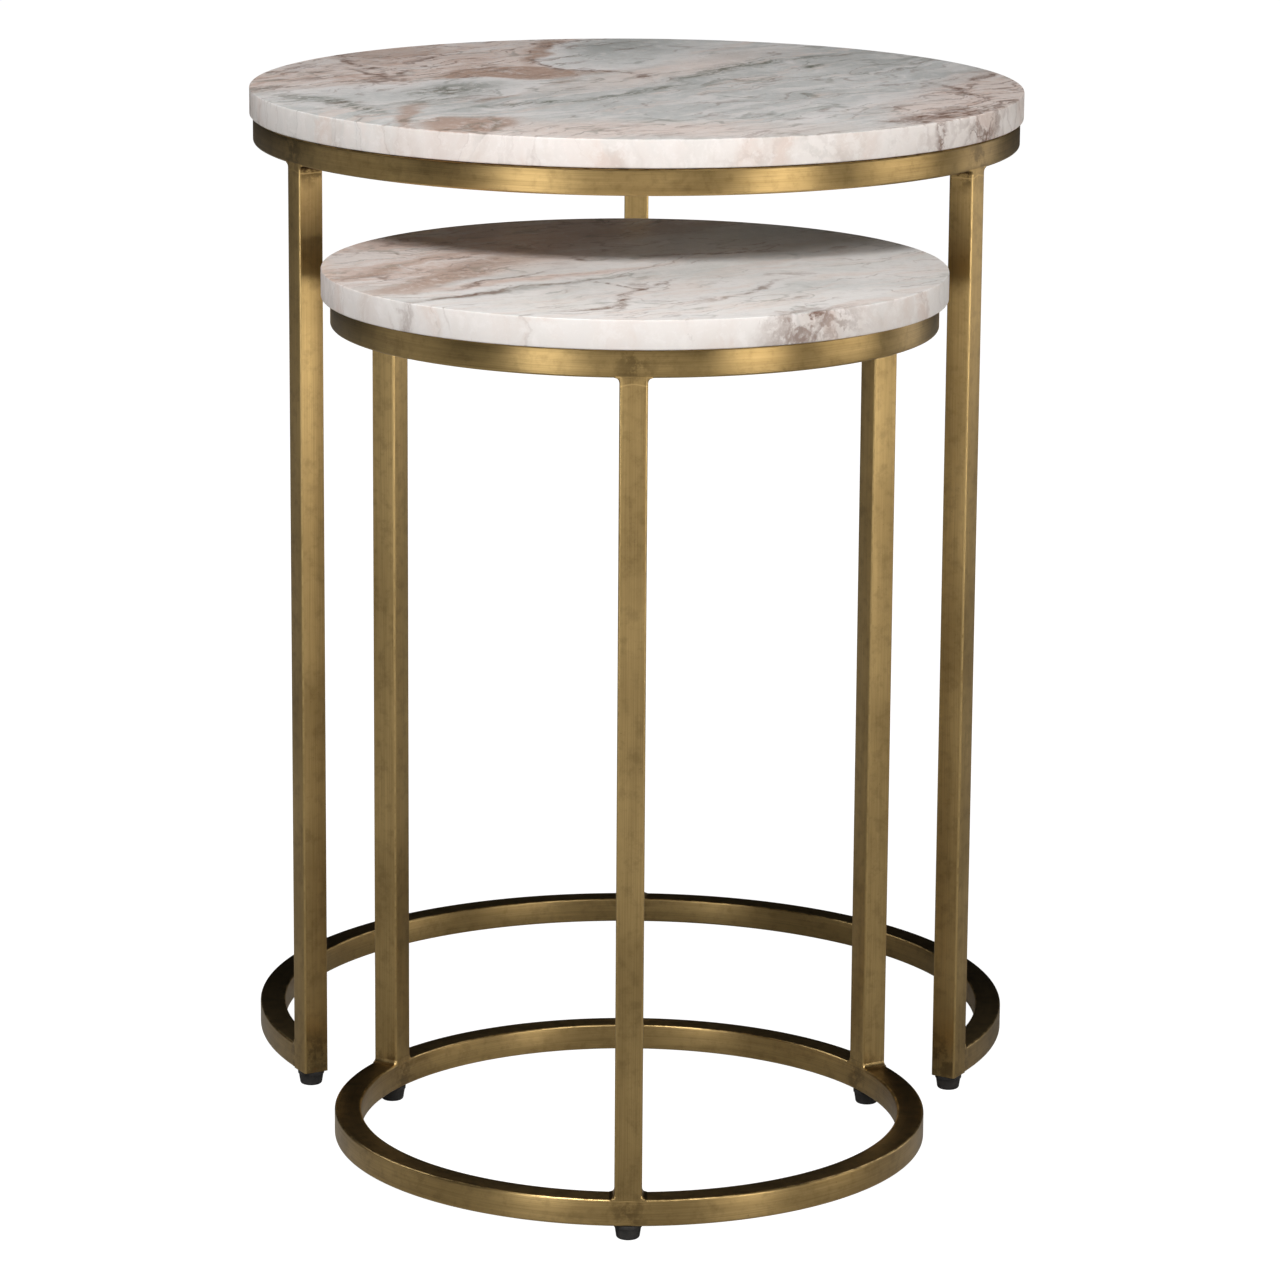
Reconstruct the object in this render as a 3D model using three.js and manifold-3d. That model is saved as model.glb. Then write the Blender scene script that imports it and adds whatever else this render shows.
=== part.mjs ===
// Two nesting tables. A small round table is pulled out from under a large one. Each has a stone top on
// a ring of square tube, three square legs, a base ring and rubber feet. The large table's base ring is
// open at the front, so that the small table slides in between the two front legs.
// Millimetres, +Z up, front towards -Y. The origin is the centre of the pair's footprint, on the floor.

import * as THREE from "three";
import { mergeVertices } from "three/addons/utils/BufferGeometryUtils.js";
import Module from "manifold-3d";

const wasm = await Module();
wasm.setup();

// Driving dimensions.
const TUBE = 15; // outer side of the square tube of rings and legs
const TUBE_WALL = 1.2;
const TUBE_CORNER = 1.5; // outer corner radius of the tube
const STONE_THICKNESS = 16;
const STONE_ARRIS = 0.7; // small bevel along both edges of the stone
const PAD_THICKNESS = 0.5; // leaves the dark line between stone and ring
const PAD_RADIUS = 4;
const PADS_PER_TABLE = 6;
const FOOT_HEIGHT = 8.5;
const FOOT_TOP_RADIUS = 7.6;
const FOOT_BOTTOM_RADIUS = 6;
const FOOT_ROUND = 0.8; // rounding of the foot's lower edge
const SCREW_RADIUS = 1.9;
const SCREW_HEAD_RADIUS = 3.4;
const SCREW_HEAD_HEIGHT = 2.4;
const SCREW_GRIP = 8; // length of screw above the foot
const SCREW_PLAY = 0.3; // around the shank, in the foot and in the tube wall
const COUNTERBORE_DEPTH = 4.5;
const COUNTERBORE_RADIUS = 3.9;
const END_PLATE_THICKNESS = 2;
const VENT_RADIUS = 3; // holes between leg and ring, which drain the tubes
const WELD_GAP = 0.3; // root gap where a ring's cut end meets the side of a leg
const PULLED_OUT = 216; // from the large table's axis to the small one's

const LARGE = {
  name: "large",
  height: 574,
  stoneRadius: 225,
  frameRadius: 223,
  legs: { back: 90, front_left: 210, front_right: 330 },
  openFront: true,
};
const SMALL = {
  name: "small",
  height: 503,
  stoneRadius: 171.5,
  frameRadius: 166.5,
  legs: { front: 270, back_right: 30, back_left: 150 },
  openFront: false,
};

// How finely round things are divided. Every count is a multiple of four.
const STONE_SIDES = 72;
const RING_SIDES = 60;
const FOOT_SIDES = 16;
const SCREW_SIDES = 12;

const FAR = 400; // further out than any ring

const stoneMaterial = new THREE.MeshStandardMaterial({ color: 0xb9aea3, roughness: 0.3, metalness: 0 });
const brassMaterial = new THREE.MeshStandardMaterial({ color: 0x8a7146, roughness: 0.38, metalness: 1 });
const rubberMaterial = new THREE.MeshStandardMaterial({ color: 0x1a1917, roughness: 0.8, metalness: 0 });
const steelMaterial = new THREE.MeshStandardMaterial({ color: 0x9a9a98, roughness: 0.35, metalness: 1 });
const siliconeMaterial = new THREE.MeshStandardMaterial({ color: 0xd8d8d4, roughness: 0.5, metalness: 0 });

// Booleans.

function solidOf(geometry) {
  const bare = geometry.clone();
  bare.deleteAttribute("normal");
  bare.deleteAttribute("uv");
  const merged = mergeVertices(bare, 1e-4);
  return new wasm.Manifold(
    new wasm.Mesh({
      numProp: 3,
      vertProperties: merged.attributes.position.array,
      triVerts: new Uint32Array(merged.index.array),
    }),
  );
}

function geometryOf(solid) {
  const { vertProperties, triVerts } = solid.getMesh();
  const geometry = new THREE.BufferGeometry();
  geometry.setAttribute("position", new THREE.BufferAttribute(vertProperties, 3));
  geometry.setIndex(new THREE.BufferAttribute(triVerts, 1));
  geometry.computeVertexNormals();
  return geometry;
}

// Basic shapes.

// Turns a profile of [radius, height] points about the Z axis.
function turned(profile, sides) {
  const points = profile.map(([radius, height]) => new THREE.Vector2(radius, height));
  return new THREE.LatheGeometry(points, sides).rotateX(Math.PI / 2);
}

function disc(radius, low, high, sides) {
  return turned([[0, low], [radius, low], [radius, high], [0, high]], sides);
}

// A square section with eased corners, centred on x, y.
function tubeOutline(x, y) {
  const half = TUBE / 2;
  const flat = half - TUBE_CORNER;
  return [
    [x + flat, y - half], [x + half, y - flat], [x + half, y + flat], [x + flat, y + half],
    [x - flat, y + half], [x - half, y + flat], [x - half, y - flat], [x - flat, y - half],
  ];
}

function boreOutline(x, y) {
  const half = TUBE / 2 - TUBE_WALL;
  return [[x + half, y - half], [x + half, y + half], [x - half, y + half], [x - half, y - half]];
}

function closed(outline) {
  return [...outline, outline[0]];
}

function onCircle(radius, degrees) {
  const angle = THREE.MathUtils.degToRad(degrees);
  return [radius * Math.cos(angle), radius * Math.sin(angle)];
}

function holeSolid(radius, [x, y], low, high) {
  return solidOf(disc(radius, low, high, SCREW_SIDES).translate(x, y, 0));
}

// Sub-parts. Each function gives a geometry in its table's frame: Z axis through the stone's centre.

function stoneTop(table) {
  const top = table.height;
  const bottom = top - STONE_THICKNESS;
  const edge = table.stoneRadius - STONE_ARRIS;
  const profile = [
    [0, bottom], [edge, bottom], [table.stoneRadius, bottom + STONE_ARRIS],
    [table.stoneRadius, top - STONE_ARRIS], [edge, top], [0, top],
  ];
  return turned(profile, STONE_SIDES);
}

// A hollow ring whose lower face is at a given height.
function ringSolid(table, bottom) {
  const radius = centreRadius(table);
  const middle = bottom + TUBE / 2;
  const outside = solidOf(turned(closed(tubeOutline(radius, middle)), RING_SIDES));
  const inside = solidOf(turned(closed(boreOutline(radius, middle)), RING_SIDES));
  return outside.subtract(inside);
}

function topRing(table) {
  const bottom = topRingBottom(table);
  let ring = ringSolid(table, bottom);
  for (const degrees of Object.values(table.legs)) {
    const place = onCircle(centreRadius(table), degrees);
    ring = ring.subtract(holeSolid(VENT_RADIUS, place, bottom - 1, bottom + TUBE / 2));
  }
  return geometryOf(ring);
}

function baseRing(table) {
  const middle = FOOT_HEIGHT + TUBE / 2;
  let ring = ringSolid(table, FOOT_HEIGHT);
  for (const [leg, degrees] of Object.entries(table.legs)) {
    if (standsOnFoot(table, leg)) continue;
    const place = onCircle(centreRadius(table), degrees);
    ring = ring.subtract(holeSolid(SCREW_RADIUS + SCREW_PLAY, place, FOOT_HEIGHT - 1, middle));
    ring = ring.subtract(holeSolid(VENT_RADIUS, place, middle, FOOT_HEIGHT + TUBE + 1));
  }
  if (table.openFront) ring = ring.subtract(frontCut(table));
  return geometryOf(ring);
}

// What is cut out of the large base ring: all of it that lies in front of its two front legs.
function frontCut(table) {
  const offset = TUBE / 2 + WELD_GAP;
  const right = table.legs.front_right;
  const [outX, outY] = onCircle(FAR, right);
  const [sideX, sideY] = onCircle(offset, right + 90);
  const apex = offset / Math.sin(THREE.MathUtils.degToRad(right - 270));
  const outline = new THREE.Shape();
  outline.moveTo(0, apex);
  outline.lineTo(-outX - sideX, outY + sideY);
  outline.lineTo(-FAR, -FAR);
  outline.lineTo(FAR, -FAR);
  outline.lineTo(outX + sideX, outY + sideY);
  outline.closePath();
  const block = new THREE.ExtrudeGeometry(outline, { depth: 2 * TUBE + FOOT_HEIGHT, bevelEnabled: false });
  return solidOf(block);
}

// A leg along Z, centred on the axis, from one height to another.
function legTube(low, high) {
  const section = new THREE.Shape(tubeOutline(0, 0).map(([x, y]) => new THREE.Vector2(x, y)));
  section.holes.push(new THREE.Path(boreOutline(0, 0).map(([x, y]) => new THREE.Vector2(x, y))));
  return new THREE.ExtrudeGeometry(section, { depth: high - low, bevelEnabled: false }).translate(0, 0, low);
}

// Closes the lower end of a leg that stands straight on its foot. The foot's screw goes through it.
function legEndPlate() {
  const section = new THREE.Shape(tubeOutline(0, 0).map(([x, y]) => new THREE.Vector2(x, y)));
  const plate = new THREE.ExtrudeGeometry(section, { depth: END_PLATE_THICKNESS, bevelEnabled: false });
  const hole = holeSolid(SCREW_RADIUS + SCREW_PLAY, [0, 0], -1, END_PLATE_THICKNESS + 1);
  return geometryOf(solidOf(plate).subtract(hole)).translate(0, 0, FOOT_HEIGHT);
}

// A round bumper that narrows downwards, with a counterbore for its screw.
function rubberFoot() {
  const bore = SCREW_RADIUS + SCREW_PLAY;
  const inner = FOOT_BOTTOM_RADIUS - FOOT_ROUND;
  const corner = FOOT_ROUND * Math.SQRT1_2;
  const profile = closed([
    [COUNTERBORE_RADIUS, 0], [inner, 0], [inner + corner, FOOT_ROUND - corner],
    [FOOT_BOTTOM_RADIUS, FOOT_ROUND], [FOOT_TOP_RADIUS, FOOT_HEIGHT], [bore, FOOT_HEIGHT],
    [bore, COUNTERBORE_DEPTH], [COUNTERBORE_RADIUS, COUNTERBORE_DEPTH],
  ]);
  return turned(profile, FOOT_SIDES);
}

function footScrew() {
  const seat = COUNTERBORE_DEPTH;
  const tip = FOOT_HEIGHT + SCREW_GRIP;
  const headBottom = seat - SCREW_HEAD_HEIGHT;
  const profile = [
    [0, headBottom], [SCREW_HEAD_RADIUS - 1, headBottom], [SCREW_HEAD_RADIUS, headBottom + 1],
    [SCREW_HEAD_RADIUS, seat], [SCREW_RADIUS, seat], [SCREW_RADIUS, tip - SCREW_RADIUS], [0, tip],
  ];
  return turned(profile, SCREW_SIDES);
}

function siliconePad(table) {
  const low = topRingBottom(table) + TUBE;
  return disc(PAD_RADIUS, low, low + PAD_THICKNESS, SCREW_SIDES);
}

// Where things are.

function centreRadius(table) {
  return table.frameRadius - TUBE / 2;
}

function topRingBottom(table) {
  return table.height - STONE_THICKNESS - PAD_THICKNESS - TUBE;
}

// The front legs of the table with the open base ring run down past the ring to their own feet.
function standsOnFoot(table, leg) {
  return table.openFront && leg.startsWith("front");
}

function add(group, name, geometry, material, degrees = null, radius = 0) {
  const mesh = new THREE.Mesh(geometry, material);
  mesh.name = name;
  if (degrees !== null) {
    const [x, y] = onCircle(radius, degrees);
    mesh.position.set(x, y, 0);
    mesh.rotation.z = THREE.MathUtils.degToRad(degrees);
  }
  group.add(mesh);
}

function makeTable(table) {
  const group = new THREE.Group();
  const radius = centreRadius(table);
  add(group, `${table.name}_stone_top`, stoneTop(table), stoneMaterial);
  add(group, `${table.name}_top_ring`, topRing(table), brassMaterial);
  add(group, `${table.name}_base_ring`, baseRing(table), brassMaterial);
  for (const [leg, degrees] of Object.entries(table.legs)) {
    const straight = standsOnFoot(table, leg);
    const low = FOOT_HEIGHT + (straight ? END_PLATE_THICKNESS : TUBE);
    const tube = legTube(low, topRingBottom(table));
    add(group, `${table.name}_leg_${leg}`, tube, brassMaterial, degrees, radius);
    if (straight) {
      add(group, `${table.name}_leg_end_plate_${leg}`, legEndPlate(), brassMaterial, degrees, radius);
    }
    add(group, `${table.name}_foot_${leg}`, rubberFoot(), rubberMaterial, degrees, radius);
    add(group, `${table.name}_foot_screw_${leg}`, footScrew(), steelMaterial, degrees, radius);
  }
  const firstPad = Object.values(table.legs)[0] + 180 / PADS_PER_TABLE;
  for (let i = 0; i < PADS_PER_TABLE; i++) {
    const degrees = firstPad + (i * 360) / PADS_PER_TABLE;
    add(group, `${table.name}_silicone_pad_${i + 1}`, siliconePad(table), siliconeMaterial, degrees, radius);
  }
  return group;
}

const back = (LARGE.stoneRadius + PULLED_OUT + SMALL.stoneRadius) / 2;
const largeTable = makeTable(LARGE);
largeTable.position.y = back - LARGE.stoneRadius;
const smallTable = makeTable(SMALL);
smallTable.position.y = SMALL.stoneRadius - back;

const group = new THREE.Group();
group.add(largeTable, smallTable);

export default group;
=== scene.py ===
# Two nesting tables: marble discs on slim frames of square tube in antique brass.
# Metres, +Z up. The small table is pulled out towards -Y, which is the front.

import math

import bmesh
import bpy
from mathutils import Matrix, Vector, noise


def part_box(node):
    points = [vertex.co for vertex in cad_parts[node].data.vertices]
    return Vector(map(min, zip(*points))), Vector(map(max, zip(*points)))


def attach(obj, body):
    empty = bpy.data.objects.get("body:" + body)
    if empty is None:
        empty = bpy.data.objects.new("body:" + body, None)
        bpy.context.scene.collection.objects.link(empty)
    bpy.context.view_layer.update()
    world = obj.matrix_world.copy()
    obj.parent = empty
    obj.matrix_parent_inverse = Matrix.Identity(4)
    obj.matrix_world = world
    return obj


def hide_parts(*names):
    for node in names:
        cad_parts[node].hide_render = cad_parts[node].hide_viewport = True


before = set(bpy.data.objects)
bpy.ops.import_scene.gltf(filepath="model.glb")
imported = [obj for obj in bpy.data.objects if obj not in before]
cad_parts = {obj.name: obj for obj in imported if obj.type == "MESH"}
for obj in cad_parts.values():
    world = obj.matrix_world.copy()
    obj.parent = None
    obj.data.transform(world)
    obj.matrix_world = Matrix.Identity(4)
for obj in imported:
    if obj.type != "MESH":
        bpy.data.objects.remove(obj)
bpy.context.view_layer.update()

MM = 0.001

# Finer sizes than the frame's nodes hold.
TUBE_CORNER = 1.25 * MM
STONE_ARRIS = 0.8 * MM
STONE_CHIP = 0.22 * MM  # how far the worn edges wander

WELD_LEG = 2.7 * MM  # how far a weld's fillet reaches along the leg and along the ring
WELD_ROOT = (0.8 * MM, 0.05 * MM)  # how far inside the tube that is met its first two outlines lie
WELD_PROUD = 0.05 * MM
WELD_RIPPLE = 0.07 * MM

FOOT_TOP = 7.75 * MM  # radius of the lip
FOOT_BOTTOM = 6.5 * MM  # radius at the floor
FOOT_ROUNDING = 1.7 * MM
FOOT_LIP = 1.9 * MM
FOOT_RECESS = 3.9 * MM  # radius of the hole that the screw's head sits in
FOOT_BORE = 2.2 * MM
FOOT_SEAT = 4.5 * MM  # height of the face that the head bears on

SCREW_HEAD = 3.4 * MM  # radius
SCREW_HEAD_HEIGHT = 2.4 * MM
SCREW_SHANK = 1.9 * MM  # radius
SCREW_PITCH = 1.3 * MM
SCREW_GRIP = 8 * MM  # how far the tip stands above the foot
SCREW_SLOT = 0.9 * MM

RING_SIDES = 240
STONE_SIDES = 480
FOOT_SIDES = 40
SCREW_SIDES = 24
CORNER_STEPS = 5
WELD_STEPS = 7


def paint(red, green, blue):
    """A colour given from 0 to 255, as the linear colour that shaders take."""
    linear = [((c / 255 + 0.055) / 1.055) ** 2.4 for c in (red, green, blue)]
    return (*linear, 1.0)


# ---------------------------------------------------------------- the tables' sizes, from the frame


class Table:
    """Where one table's nodes are."""

    def __init__(self, name, places):
        self.name = name
        self.body = f"{name}_table"
        stone_low, stone_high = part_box(self.node("stone_top"))
        ring_low, ring_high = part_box(self.node("top_ring"))
        base_low, base_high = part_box(self.node("base_ring"))
        self.centre = Vector(((stone_low.x + stone_high.x) / 2, (stone_low.y + stone_high.y) / 2, 0))
        self.stone_radius = (stone_high.x - stone_low.x) / 2
        self.stone_low = stone_low.z
        self.stone_high = stone_high.z
        self.tube = ring_high.z - ring_low.z
        self.frame_radius = (ring_high.x - ring_low.x) / 2
        self.tube_radius = self.frame_radius - self.tube / 2
        self.ring_low = ring_low.z
        self.base_low = base_low.z
        self.base_high = base_high.z
        self.angles = {place: self.angle_of(self.node(f"leg_{place}")) for place in places}

    def node(self, part):
        return f"{self.name}_{part}"

    def angle_of(self, node):
        low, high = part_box(node)
        middle = (low + high) / 2 - self.centre
        return math.atan2(middle.y, middle.x)

    def on_base_ring(self, place):
        """Whether that leg stands on the base ring, and not beside its cut end."""
        low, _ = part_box(self.node(f"leg_{place}"))
        return low.z > self.base_high - MM


large = Table("large", ("back", "front_left", "front_right"))
small = Table("small", ("front", "back_left", "back_right"))


# ---------------------------------------------------------------- camera

CAMERA_DISTANCE = 3.184  # in front of the large table's axis
CAMERA_HEIGHT = 0.9886
CAMERA_SIDE = 0.0042
CAMERA_PITCH = 0.2301  # radians below level
CAMERA_ROLL = 0.0073
CAMERA_LENS = 154.5


def add_camera():
    camera = bpy.data.objects.new("camera", bpy.data.cameras.new("camera"))
    camera.data.lens = CAMERA_LENS
    camera.data.sensor_width = 36
    camera.data.clip_end = 200
    place = Matrix.Translation((CAMERA_SIDE, large.centre.y - CAMERA_DISTANCE, CAMERA_HEIGHT))
    look = Matrix.Rotation(math.pi / 2 - CAMERA_PITCH, 4, "X")
    camera.matrix_world = place @ look @ Matrix.Rotation(CAMERA_ROLL, 4, "Z")
    bpy.context.scene.collection.objects.link(camera)
    bpy.context.scene.camera = camera


# ---------------------------------------------------------------- node trees


class Value:
    """A node's output. Arithmetic on numbers adds the Math nodes that do it."""

    def __init__(self, graph, socket):
        self.graph = graph
        self.socket = socket

    def math(self, operation, *others):
        return self.graph.math(operation, self, *others)

    def __add__(self, other):
        return self.graph.math("ADD", self, other)

    def __radd__(self, other):
        return self.graph.math("ADD", other, self)

    def __sub__(self, other):
        return self.graph.math("SUBTRACT", self, other)

    def __rsub__(self, other):
        return self.graph.math("SUBTRACT", other, self)

    def __mul__(self, other):
        return self.graph.math("MULTIPLY", self, other)

    def __rmul__(self, other):
        return self.graph.math("MULTIPLY", other, self)

    def __truediv__(self, other):
        return self.graph.math("DIVIDE", self, other)

class Graph:
    """A shader or geometry tree that is built by adding nodes."""

    def __init__(self, tree):
        self.tree = tree

    def add(self, kind, settings=None, inputs=None):
        """Adds a node, sets its settings, then its sockets to values or links, by name or by place."""
        node = self.tree.nodes.new(kind)
        for key, value in (settings or {}).items():
            setattr(node, key, value)
        for key, value in (inputs or {}).items():
            socket = self.find(node.inputs, key)
            if isinstance(value, Value):
                self.tree.links.new(value.socket, socket)
            else:
                socket.default_value = value
        return node

    def out(self, node, key=0):
        return Value(self, self.find(node.outputs, key))

    @staticmethod
    def find(sockets, key):
        if isinstance(key, int):
            return sockets[key]
        matches = [s for s in sockets if s.identifier == key] or [s for s in sockets if s.name == key]
        return matches[0]

    def math(self, operation, *values):
        node = self.add("ShaderNodeMath", {"operation": operation}, dict(enumerate(values)))
        return self.out(node)

    def vector_math(self, operation, *values):
        node = self.add("ShaderNodeVectorMath", {"operation": operation}, dict(enumerate(values)))
        return self.out(node)

    def combine(self, x, y, z):
        return self.out(self.add("ShaderNodeCombineXYZ", None, {0: x, 1: y, 2: z}))

    def split(self, vector):
        node = self.add("ShaderNodeSeparateXYZ", None, {0: vector})
        return [self.out(node, i) for i in range(3)]

    def ramp(self, value, start, end):
        """Goes smoothly from 0, where value is start, to 1, where it is end."""
        inputs = {"Value": value, "From Min": start, "From Max": end}
        node = self.add("ShaderNodeMapRange", {"interpolation_type": "SMOOTHSTEP"}, inputs)
        return self.out(node)

    def mix(self, factor, first, second):
        """The first colour where the factor is 0, the second where it is 1."""
        inputs = {"Factor_Float": factor, "A_Color": first, "B_Color": second}
        return self.out(self.add("ShaderNodeMix", {"data_type": "RGBA"}, inputs), "Result_Color")

    def noise(self, vector, scale, detail, roughness=0.5, w=None, key="Fac"):
        """A noise texture, in 4D where w is given."""
        settings = {"noise_dimensions": "3D" if w is None else "4D"}
        inputs = {"Vector": vector, "Scale": scale, "Detail": detail, "Roughness": roughness}
        if w is not None:
            inputs["W"] = w
        return self.out(self.add("ShaderNodeTexNoise", settings, inputs), key)


# ---------------------------------------------------------------- materials


class Surface(Graph):
    """A material's tree, with its Principled shader in place."""

    def __init__(self, name):
        self.material = bpy.data.materials.new(name)
        self.material.use_nodes = True
        super().__init__(self.material.node_tree)
        self.tree.nodes.clear()
        self.shader = self.add("ShaderNodeBsdfPrincipled")
        self.add("ShaderNodeOutputMaterial", None, {"Surface": self.out(self.shader)})

    def mapped(self, centre, turn=0.0):
        """Object coordinates in millimetres from a centre, turned about Z."""
        coordinates = self.out(self.add("ShaderNodeTexCoord"), "Object")
        inputs = {"Vector": coordinates, "Location": centre, "Rotation": (0, 0, turn)}
        inputs["Scale"] = (MM, MM, MM)
        return self.out(self.add("ShaderNodeMapping", {"vector_type": "TEXTURE"}, inputs))

    def finish(self, **inputs):
        """Feeds the shader, with _ for a space in a socket's name, and gives the material."""
        for key, value in inputs.items():
            socket = self.find(self.shader.inputs, key.replace("_", " "))
            if isinstance(value, Value):
                self.tree.links.new(value.socket, socket)
            else:
                socket.default_value = value
        return self.material

    def up(self):
        """The height of the face's normal: 1 where it faces up, -1 where it faces down."""
        return self.split(self.out(self.add("ShaderNodeNewGeometry"), "Normal"))[2]

    def bump(self, height, distance, strength):
        inputs = {"Height": height, "Distance": distance, "Strength": strength}
        return self.out(self.add("ShaderNodeBump", None, inputs))


WHITE_CALCITE = paint(240, 235, 232)
PALE_PINK = paint(233, 217, 208)
ROSE_BEIGE = paint(216, 191, 178)
BROWN_BAND = paint(188, 160, 144)
COOL_GREY = paint(210, 210, 207)
DEEP_GREY = paint(184, 185, 181)
OLIVE_VEIN = paint(108, 108, 94)
UMBER_VEIN = paint(118, 86, 70)


class Marble(Surface):
    """Layered marble. Places and sizes are millimetres in plan, from the stone's centre.

    The edge mask is 1 on the edge all round and 0 on the faces. The edge is honed, and its paler colour is
    partly that finish and partly painted light, for the edge being lit more strongly than the top. Net breaks
    single veins into short threads."""

    def __init__(self, name, table, flow):
        super().__init__(name)
        self.flow = math.radians(flow)
        middle = (table.stone_low + table.stone_high) / 2
        self.place = self.mapped((table.centre.x, table.centre.y, middle), self.flow)
        self.flowing = self.pushed(self.place, self.noise(self.place, 1 / 95, 2, key="Color"), 26)
        ragged = self.pushed(self.flowing, self.noise(self.place, 1 / 26, 5, 0.6, key="Color"), 10)
        self.ragged = self.pushed(ragged, self.noise(self.place, 1 / 5, 3, 0.6, key="Color"), 1.6)
        self.grain = self.noise(self.place, 1 / 3.2, 6, 0.7)
        net = (self.streaks(34, 7, 4, 0.6, 13.0) - 0.5).math("ABSOLUTE")
        self.net = self.ramp(net, 0.1, 0.01) * 0.85 + 0.15
        self.colour = None
        self.honed_and_lit = self.ramp(self.up().math("ABSOLUTE"), 0.8, 0.2)

    def pushed(self, place, shift, reach):
        """The place, pushed about by noise of up to the reach."""
        centred = self.vector_math("SUBTRACT", shift, (0.5, 0.5, 0.5))
        return self.vector_math("ADD", place, self.vector_math("MULTIPLY", centred, (2 * reach,) * 3))

    def streaks(self, length, width, detail=4, roughness=0.55, offset=0.0):
        """Noise drawn out along the flow."""
        stretched = self.vector_math("MULTIPLY", self.ragged, (1 / length, 1 / width, 1 / length))
        moved = self.vector_math("ADD", stretched, (offset, offset, offset))
        return self.noise(moved, 1.0, detail, roughness)

    def veins(self, length, width, thickness, offset=0.0):
        """Long thin lines that run along the flow and fade in and out, from 0 to 1."""
        ridge = (self.streaks(length, width, 2, 0.45, offset) - 0.5).math("ABSOLUTE")
        fading = self.noise(self.vector_math("ADD", self.place, (offset * 90,) * 3), 1 / 42, 2, 0.5)
        faint = 1 - self.honed_and_lit * 0.7
        return self.ramp(ridge, thickness, thickness * 0.15) * self.ramp(fading, 0.42, 0.58) * faint

    def pool(self, x, y, length, width, turn, soft):
        """1 inside an ellipse with a ragged edge, 0 outside. Turn is degrees from the flow."""
        distance = self.distance(x, y, length, width, turn)
        return self.ramp(distance, 1 + soft, 1 - soft)

    def vein_between(self, x1, y1, x2, y2, thickness, soft=0.6):
        """One ragged vein from a place to another."""
        length = math.hypot(x2 - x1, y2 - y1) / 2 + thickness
        turn = math.degrees(math.atan2(y2 - y1, x2 - x1) - self.flow)
        return self.pool((x1 + x2) / 2, (y1 + y2) / 2, length, thickness, turn, soft)

    def distance(self, x, y, length, width, turn):
        """0 at the ellipse's centre, 1 on its outline."""
        along = x * math.cos(self.flow) + y * math.sin(self.flow)
        across = y * math.cos(self.flow) - x * math.sin(self.flow)
        u, v, _ = self.split(self.ragged)
        cos, sin = math.cos(math.radians(turn)), math.sin(math.radians(turn))
        du = u - along
        dv = v - across
        a = (du * cos + dv * sin) * (1 / length)
        b = (dv * cos - du * sin) * (1 / width)
        return (a * a + b * b).math("SQRT")

    def lay(self, colour, mask=1.0):
        """Lays a colour over what is there, where the mask is 1."""
        self.colour = colour if self.colour is None else self.mix(mask, self.colour, colour)

    def lighten_and_stain_edge(self):
        """The edge all round: stained in upright blotches, and paler than the face, partly for its honed
        finish and partly as painted light for the edge lit more strongly than the top. Veins go on after it.
        """
        drawn_down = self.vector_math("MULTIPLY", self.ragged, (1, 1, 0.3))
        stain = self.noise(drawn_down, 1 / 30, 3, 0.5)
        bite = self.noise(drawn_down, 1 / 11, 4, 0.6)
        # painted light in part: a pale layer over the whole edge, with whiter stains, and a grey layer at the
        # end that sets how bright the edge looks
        self.lay(PALE_PINK, self.honed_and_lit * 0.4)
        self.lay(WHITE_CALCITE, self.honed_and_lit * self.ramp(stain, 0.62, 0.44) * 0.5)
        self.lay(ROSE_BEIGE, self.honed_and_lit * self.ramp(stain, 0.52, 0.7) * 0.6)
        self.lay(UMBER_VEIN, self.honed_and_lit * self.ramp(bite, 0.66, 0.74) * 0.35)
        self.lay(COOL_GREY, self.honed_and_lit * 0.2)

    def polished(self):
        """Adds clouds and grain, and gives the material: polished faces, and a duller edge."""
        cloud = self.noise(self.ragged, 1 / 9, 6, 0.68)
        colour = self.mix(self.ramp(cloud, 0.5, 0.66) * 0.45, self.colour, WHITE_CALCITE)
        # the edge keeps out the grey clouds and the umber grain, so it stays paler: partly the honed look,
        # partly painted light
        colour = self.mix(self.ramp(cloud, 0.46, 0.32) * (1 - self.honed_and_lit) * 0.3, colour, DEEP_GREY)
        colour = self.mix(self.ramp(self.grain, 0.5, 0.3) * (1 - self.honed_and_lit) * 0.13, colour, UMBER_VEIN)
        colour = self.mix(self.ramp(self.grain, 0.52, 0.72) * 0.35, colour, WHITE_CALCITE)
        roughness = 0.27 + self.honed_and_lit * 0.18 + cloud * 0.08
        normal = self.bump(self.grain * 0.5 + cloud, 0.03 * MM, 0.5)
        return self.finish(
            Base_Color=colour,
            Roughness=roughness,
            Normal=normal,
            IOR=1.5,
            Subsurface_Weight=0.06,
            Subsurface_Radius=(1.0, 0.8, 0.6),
            Subsurface_Scale=2.5 * MM,
        )


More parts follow.
